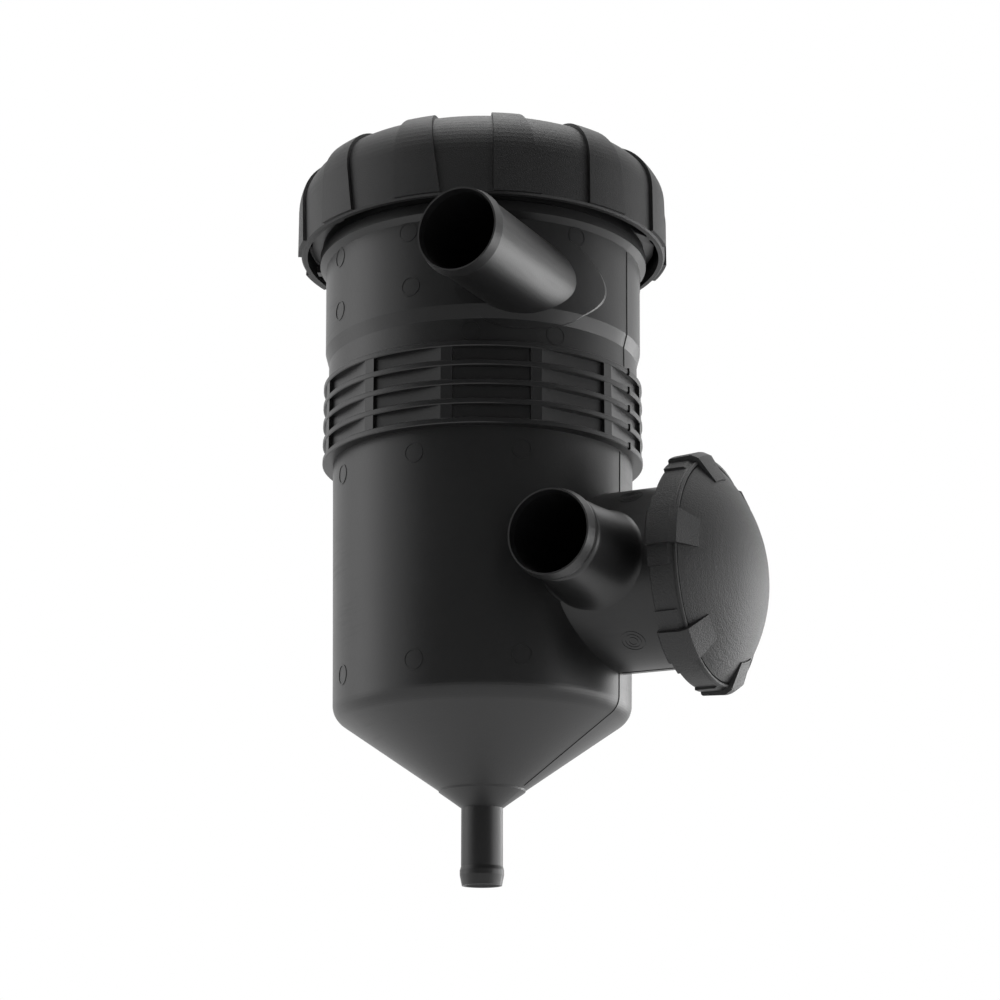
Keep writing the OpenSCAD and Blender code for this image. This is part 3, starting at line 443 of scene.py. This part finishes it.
# %% Inner materials
natural_plastic = moulded("natural_plastic", (0.55, 0.53, 0.47), (0.66, 0.64, 0.58), (0.35, 0.5),
                          1600.0, 0.00003)
rubber_black = moulded("rubber_black", (0.01, 0.01, 0.01), (0.018, 0.018, 0.018), (0.55, 0.7),
                       2200.0, 0.00003)
fleece = moulded("pressed_fleece", (0.62, 0.58, 0.48), (0.84, 0.81, 0.73), (0.85, 0.95), 900.0, 0.0003)
wire = bpy.data.materials.new("spring_wire")
wire.use_nodes = True
wire_shader = wire.node_tree.nodes["Principled BSDF"]
wire_shader.inputs["Metallic"].default_value = 1.0
wire_tone = place_group(wire, tone_tree, Dark=(0.5, 0.5, 0.5, 1), Light=(0.62, 0.62, 0.61, 1),
                        Gloss_Low=0.22, Gloss_High=0.36)
wire.node_tree.links.new(wire_tone.outputs["Color"], wire_shader.inputs["Base Color"])
wire.node_tree.links.new(wire_tone.outputs["Roughness"], wire_shader.inputs["Roughness"])
print("inner materials:", natural_plastic.name, rubber_black.name, fleece.name, wire.name)

# %% [markdown]
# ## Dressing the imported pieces
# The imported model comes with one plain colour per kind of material. A table that pairs every piece with
# its finish is easier to read and to change than a search by slot, and here it also tells the cover
# from the lid, which share a slot.

# %% Dress the CAD nodes
DRESS = {
    "housing": housing_black, "lid": lid_black, "relief_cap": lid_black, "valve_cover": cover_black,
    "lid_o_ring": rubber_black, "relief_seal": rubber_black, "element_seal_ring": rubber_black,
    "diaphragm": rubber_black, "relief_disc": natural_plastic, "element_top_cap": natural_plastic,
    "element_core": natural_plastic, "element_cage": natural_plastic,
    "element_bottom_cap": natural_plastic, "diaphragm_plate": natural_plastic,
    "diaphragm_washer": natural_plastic, "coalescing_fleece": fleece, "drain_sleeve": fleece,
    "relief_spring": wire, "control_spring": wire,
}
for node_name, mat in DRESS.items():
    node_mesh = nodes[node_name].data
    node_mesh.materials.clear()
    node_mesh.materials.append(mat)
print("dressed", len(DRESS), "of", len(nodes), "nodes")


# %% [markdown]
# ## Traces of the mould
# The housing comes out of a mould of two halves that part in the plane of the chamber's axis. What the
# mould leaves could be a bump in a material, but that would fade at the edge of the body, where it
# shows most. So each trace is a small mesh, a tenth of a millimetre high, that stands on the housing.
# The values below repeat the part's sizes, in millimetres.

# %% Sizes of the housing under the marks
MM = 0.001
BODY_R, DRAFT, BELT_HALF = 53.2, math.radians(1.0), 14.5
WAIST_R, BAND_LOW, BAND_HIGH, UPPER_R, UPPER_TOP_R, UPPER_TOP_Z = 55.2, 22.6, 27.4, 56.5, 56.9, 58.6
CONE_Z, CONE_SLOPE, FILLET_R = -103.9, math.radians(34.6), 7.0
CHAMBER_Z, CHAMBER_R, CHAMBER_START, CHAMBER_END = -61.8, 31.0, 53.0, 79.4


def body_radius(z):
    """Outer radius of the housing in millimetres at height z, apart from belt and cone."""
    if z < -BELT_HALF:
        return BODY_R - (-BELT_HALF - z) * math.tan(DRAFT)
    if z < BAND_LOW:
        return WAIST_R
    if z < BAND_HIGH:
        return WAIST_R + (UPPER_R - WAIST_R) * (z - BAND_LOW) / (BAND_HIGH - BAND_LOW)
    return UPPER_R + (UPPER_TOP_R - UPPER_R) * (z - BAND_HIGH) / (UPPER_TOP_Z - BAND_HIGH)


EDGE_R = body_radius(CONE_Z)
print("wall radius above the cone:", round(EDGE_R, 2), "mm")


# %% A piece on the housing
def moved_verts(geom):
    """The vertices in what an operator returns."""
    return [v for v in geom if isinstance(v, bmesh.types.BMVert)]


def housing_piece(name, bm, mat):
    """Closes a bmesh into a piece that rides on the housing."""
    bmesh.ops.remove_doubles(bm, verts=bm.verts, dist=1e-7)
    bmesh.ops.recalc_face_normals(bm, faces=bm.faces)
    mesh = bpy.data.meshes.new(name)
    bm.to_mesh(mesh)
    bm.free()
    mesh.materials.append(mat)
    piece = bpy.data.objects.new(name, mesh)
    scene.collection.objects.link(piece)
    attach(piece, "housing")
    print(name + ":", len(mesh.polygons), "faces")
    return piece


# %% [markdown]
# ### The seam
# Where the halves meet, a hair-thin line runs down both sides of the housing and along the chamber. Each
# stretch is a chain of points in the parting plane. Extruded outwards it becomes a fin, and extruded across
# the plane it gets its width. It starts inside the wall, so that no gap shows under it. Its dull black is
# painted shade, for the shadow in the groove between the halves.

# %% Lines of the seam
BELT_EDGE, SEAM_TOP, CONE_END_R, FILLET_STEPS = 15.0, 58.0, 16.0, 5
FILLET_TURN = math.radians(90) - CONE_SLOPE
fillet_top = CONE_Z + FILLET_R * math.tan((FILLET_TURN - DRAFT) / 2)
fillet_mid = body_radius(fillet_top) - FILLET_R
fillet_line = [
    (fillet_mid + FILLET_R * math.cos(a), fillet_top - FILLET_R * math.sin(a))
    for a in [FILLET_TURN * i / FILLET_STEPS for i in range(1, FILLET_STEPS + 1)]
]
cone_end = (CONE_END_R, CONE_Z - (EDGE_R - CONE_END_R) * math.tan(CONE_SLOPE))
low_end = [(body_radius(fillet_top), fillet_top), *fillet_line, cone_end]
upper_line = [(body_radius(z), z) for z in (BELT_EDGE, BAND_LOW, BAND_HIGH, SEAM_TOP)]
lower_line = [(body_radius(z), z) for z in (-BELT_EDGE, CHAMBER_Z + CHAMBER_R)]
under_line = [(body_radius(CHAMBER_Z - CHAMBER_R), CHAMBER_Z - CHAMBER_R)] + low_end
back_line = [(body_radius(-BELT_EDGE), -BELT_EDGE)] + low_end
print("the seam's lowest point:", [round(v, 1) for v in cone_end])

# %% Seam
SEAM_WIDTH, SEAM_SUNK, SEAM_PROUD = 0.55, 0.3, 0.11


def seam(bm, points, outward):
    """A thin ridge along points in the plane y = 0, which are on the wall."""
    out = Vector(outward)
    line = [
        bm.verts.new((Vector((x, -SEAM_WIDTH / 2, z)) - out * SEAM_SUNK) * MM) for x, z in points
    ]
    edges = [bm.edges.new(pair) for pair in zip(line, line[1:])]
    fin = bmesh.ops.extrude_edge_only(bm, edges=edges)["geom"]
    bmesh.ops.translate(bm, verts=moved_verts(fin), vec=out * (SEAM_SUNK + SEAM_PROUD) * MM)
    faces = [f for f in fin if isinstance(f, bmesh.types.BMFace)]
    thick = bmesh.ops.extrude_face_region(bm, geom=faces)["geom"]
    bmesh.ops.translate(bm, verts=moved_verts(thick), vec=(0, SEAM_WIDTH * MM, 0))


seam_bm = bmesh.new()
for points, side in (
    (upper_line, 1), (lower_line, 1), (under_line, 1), (upper_line, -1), (back_line, -1)
):
    seam(seam_bm, [(side * x, z) for x, z in points], (side, 0, 0))
for way in (1, -1):
    edge_z = CHAMBER_Z + way * CHAMBER_R
    seam(seam_bm, [(CHAMBER_START, edge_z), (CHAMBER_END, edge_z)], (0, 0, way))
# The seam's dull black is painted shade for the shadowed groove.
housing_piece("mould_seam", seam_bm, seam_painted_shade)

# %% [markdown]
# ### Flash hooks
# At each belt ring the seam leaves a small dark hook on the rim. A bevelled block of under a millimetre,
# half sunk into the ring, reads as that hook at any distance, and there are only ten. Its dark is the
# seam's painted shade.

# %% Flash hooks on the belt rings
RING_R, RING_PITCH, RING_T, RING_COUNT = 56.9, 6.75, 2.0, 5
HOOK_SIZE, HOOK_SUNK, HOOK_ROUND = Vector((0.9, 0.7, RING_T + 0.5)), 0.12, 0.12
hook_bm = bmesh.new()
for ring_index in range(RING_COUNT):
    ring_z = (ring_index - (RING_COUNT - 1) / 2) * RING_PITCH
    for side in (1, -1):
        block = bmesh.ops.create_cube(hook_bm, size=1.0)["verts"]
        bmesh.ops.scale(hook_bm, verts=block, vec=HOOK_SIZE * MM)
        bmesh.ops.translate(hook_bm, verts=block, vec=Vector((side * (RING_R - HOOK_SUNK), 0, ring_z)) * MM)
bmesh.ops.bevel(hook_bm, geom=hook_bm.edges[:], offset=HOOK_ROUND * MM, offset_type="OFFSET", segments=2,
                affect="EDGES", profile=0.5, material=-1)
# The hooks take the seam's painted shade for their dark.
housing_piece("flash_hooks", hook_bm, seam_painted_shade)


# %% [markdown]
# ### Ejector pin circles
# Round pins push the housing out of the mould, and each leaves a circle. A flat circle is extruded
# inwards to a band and upwards to a low ring. Then every vertex is bent round the wall by a small
# mapping function, one for the round body and one for the chamber, so one recipe serves both.

# %% Marks bent round a wall
def on_body(polar_deg, z):
    """Maps a flat mark onto the round body at this polar angle and height, in millimetres."""
    def place(u, v, lift):
        angle = math.radians(polar_deg) + u / body_radius(z)
        r = body_radius(z + v) + lift
        return Vector((r * math.cos(angle), r * math.sin(angle), z + v))
    return place


def on_chamber(x, angle_deg):
    """Maps a flat mark onto the side chamber's round wall."""
    def place(u, v, lift):
        angle = math.radians(angle_deg) + v / CHAMBER_R
        r = CHAMBER_R + lift
        return Vector((x + u, r * math.cos(angle), CHAMBER_Z + r * math.sin(angle)))
    return place


def circle_edges(verts):
    """The edges of a fresh circle, in a fixed order."""
    return list(dict.fromkeys(edge for v in verts for edge in v.link_edges))


def pin_circle(bm, place, radius=3.5, band=0.45, high=0.15, sunk=0.2):
    """A raised circle that is bent round the wall that place() stands for."""
    ring = bmesh.ops.create_circle(bm, cap_ends=False, radius=radius, segments=48)["verts"]
    grown = bmesh.ops.extrude_edge_only(bm, edges=circle_edges(ring))["geom"]
    inner = moved_verts(grown)
    bmesh.ops.scale(bm, verts=inner, vec=(1 - band / radius,) * 2 + (1,))
    faces = [f for f in grown if isinstance(f, bmesh.types.BMFace)]
    top = moved_verts(bmesh.ops.extrude_face_region(bm, geom=faces)["geom"])
    bmesh.ops.translate(bm, verts=top, vec=(0, 0, high + sunk))
    for v in dict.fromkeys(ring + inner + top):
        v.co = place(v.co.x, v.co.y, v.co.z - sunk) * MM


# %% Ejector pin circles
FRONT_ROW_Z = 18.6  # This row has no mirror image at the back
PINS = [(-125.5, 55.4), (-90, 55.4), (-28.3, 55.4), (-125.5, 35.6), (-89, 35.6), (-67.2, FRONT_ROW_Z),
        (-36.3, FRONT_ROW_Z), (-129, -22.6), (-89, -22.4), (-48.7, -21.8), (-129, -93), (-89, -92.6),
        (-48.4, -91.5)]
CHAMBER_PIN_X, CHAMBER_PIN_DEG, CHAMBER_PIN_RADII = 65.2, 127, (4.2, 2.9, 1.7)
pin_bm = bmesh.new()
for polar_deg, z in PINS:
    pin_circle(pin_bm, on_body(polar_deg, z))
    if z != FRONT_ROW_Z:
        pin_circle(pin_bm, on_body(-polar_deg, z))
for circle_radius in CHAMBER_PIN_RADII:
    for side in (-1, 1):
        chamber_wall = on_chamber(CHAMBER_PIN_X, side * CHAMBER_PIN_DEG)
        pin_circle(pin_bm, chamber_wall, circle_radius, band=0.35, high=0.12)
housing_piece("pin_circles", pin_bm, housing_black)

# %% [markdown]
# ## The root of the outlet spigot
# The outlet spigot widens in a long soft fillet where it grows out of the chamber. The fillet is wide
# below and towards the cover, and narrow above and on the body's side. A spin would give the same
# section all round, so loops are made instead: each is a circle whose vertices go to one point of the
# section at their own angle. bridge_loops then joins the loops to a closed band, whose back stays
# inside the wall.

# %% Section of the fillet
SPIGOT_X, SPIGOT_Z, SPIGOT_R, SPIGOT_INSIDE = 54.4, -57.6, 14.5, 0.6
ROOT_MEAN_R, ROOT_LEAN, ROOT_LEAN_TURN = 18.1, 3.6, math.radians(-50)
ROOT_START, ROOT_END_SUNK, ROOT_BACK_SUNK = -55.2, 0.12, 0.7
ROOT_STEPS, ROOT_BACK_STEPS, ROOT_TURNS = 12, 3, 90


def wall_front(x, z):
    """The housing's foremost y at this place, on the chamber or on the round body."""
    chamber_y = -math.sqrt(CHAMBER_R ** 2 - (z - CHAMBER_Z) ** 2)
    return min(chamber_y, -math.sqrt(body_radius(z) ** 2 - x ** 2)) if x < EDGE_R else chamber_y


def root_section(turn):
    """The fillet's closed section at this angle round the spigot, in millimetres."""
    def at(r, y):
        return Vector((SPIGOT_X + r * math.cos(turn), y, SPIGOT_Z + r * math.sin(turn)))

    def wall_at(r):
        spot = at(r, 0)
        return wall_front(spot.x, spot.z)
    root_r = ROOT_MEAN_R + ROOT_LEAN * math.cos(turn - ROOT_LEAN_TURN)
    inner_r = SPIGOT_R - SPIGOT_INSIDE
    end_y = wall_at(root_r) + ROOT_END_SUNK
    section = []
    for step in range(ROOT_STEPS + 1):
        a = math.radians(90) * step / ROOT_STEPS
        r = root_r - (root_r - SPIGOT_R) * math.cos(a)
        section.append(at(r, ROOT_START + (end_y - ROOT_START) * math.sin(a)))
    for step in range(ROOT_BACK_STEPS + 1):
        r = root_r + (inner_r - root_r) * step / ROOT_BACK_STEPS
        section.append(at(r, wall_at(r) + ROOT_BACK_SUNK))
    section.append(at(inner_r, ROOT_START))
    return section


# %% Root of the outlet spigot
sections = [root_section(math.tau * i / ROOT_TURNS) for i in range(ROOT_TURNS)]
root_bm = bmesh.new()
loops = []
for point_index in range(len(sections[0])):
    loop = bmesh.ops.create_circle(root_bm, cap_ends=False, radius=MM, segments=ROOT_TURNS)["verts"]
    for v, section in zip(loop, sections):
        v.co = section[point_index] * MM
    loops.append(circle_edges(loop))
for loop_index, (this, following) in enumerate(zip(loops, loops[1:] + loops[:1])):
    for face in bmesh.ops.bridge_loops(root_bm, edges=this + following)["faces"]:
        face.smooth = loop_index < ROOT_STEPS
housing_piece("outlet_root", root_bm, housing_black)

# %% [markdown]
# ## The rim of the valve cover
# The cover's rim ends in a rolled edge, and a narrow groove parts that edge from the dome. The groove is
# too fine to cut, so a thin ring of the seam's painted-shade black lies in it as the groove's painted
# shade. Both rings are a small circle that is spun round the chamber's axis.

# %% Rolled rim and groove
RIM_X = 88.65
ROLL_BACK, ROLL_R, ROLL_THICK = 0.3, 37.75, 0.62
GROOVE_BACK, GROOVE_R, GROOVE_THICK = 0.05, 37.02, 0.36


def ring_round_chamber(name, x, radius, thickness, mat):
    """A closed round ring about the side chamber's axis."""
    bm = bmesh.new()
    profile = bmesh.ops.create_circle(bm, cap_ends=False, radius=thickness * MM, segments=12)["verts"]
    bmesh.ops.translate(bm, verts=profile, vec=(x * MM, radius * MM, 0))
    bmesh.ops.spin(bm, geom=bm.edges[:], cent=(0, 0, 0), axis=(1, 0, 0), angle=math.tau, steps=160,
                   use_merge=True)
    bmesh.ops.translate(bm, verts=bm.verts[:], vec=(0, 0, CHAMBER_Z * MM))
    for face in bm.faces:
        face.smooth = True
    piece = housing_piece(name, bm, mat)


ring_round_chamber("cover_rim_roll", RIM_X - ROLL_BACK, ROLL_R, ROLL_THICK, cover_black)
# Painted shade: a dark ring that stands for the shadow in the rim's groove.
ring_round_chamber("cover_rim_painted_groove_shade", RIM_X - GROOVE_BACK, GROOVE_R, GROOVE_THICK, seam_painted_shade)

# %% [markdown]
# ## The springs
# Each valve's spring stands between a fixed seat and the moving plate. When the valve opens, the coils
# close up. The spring could be cut in two halves that slide past each other, or its coils could shorten
# towards the fixed seat by the valve's travel. Here each spring only gets a mesh of its own.

# %% Springs
SPRINGS = [
    # Spring, joint, axis, its fixed end is the high one, travel in metres
    ("relief_spring", "relief_lift", [0, 0, 1], True, 0.003),
    ("control_spring", "control_slide", [1, 0, 0], False, 0.005),
]
for spring_name, joint, axis, fixed_high, travel in SPRINGS:
    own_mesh(nodes[spring_name])
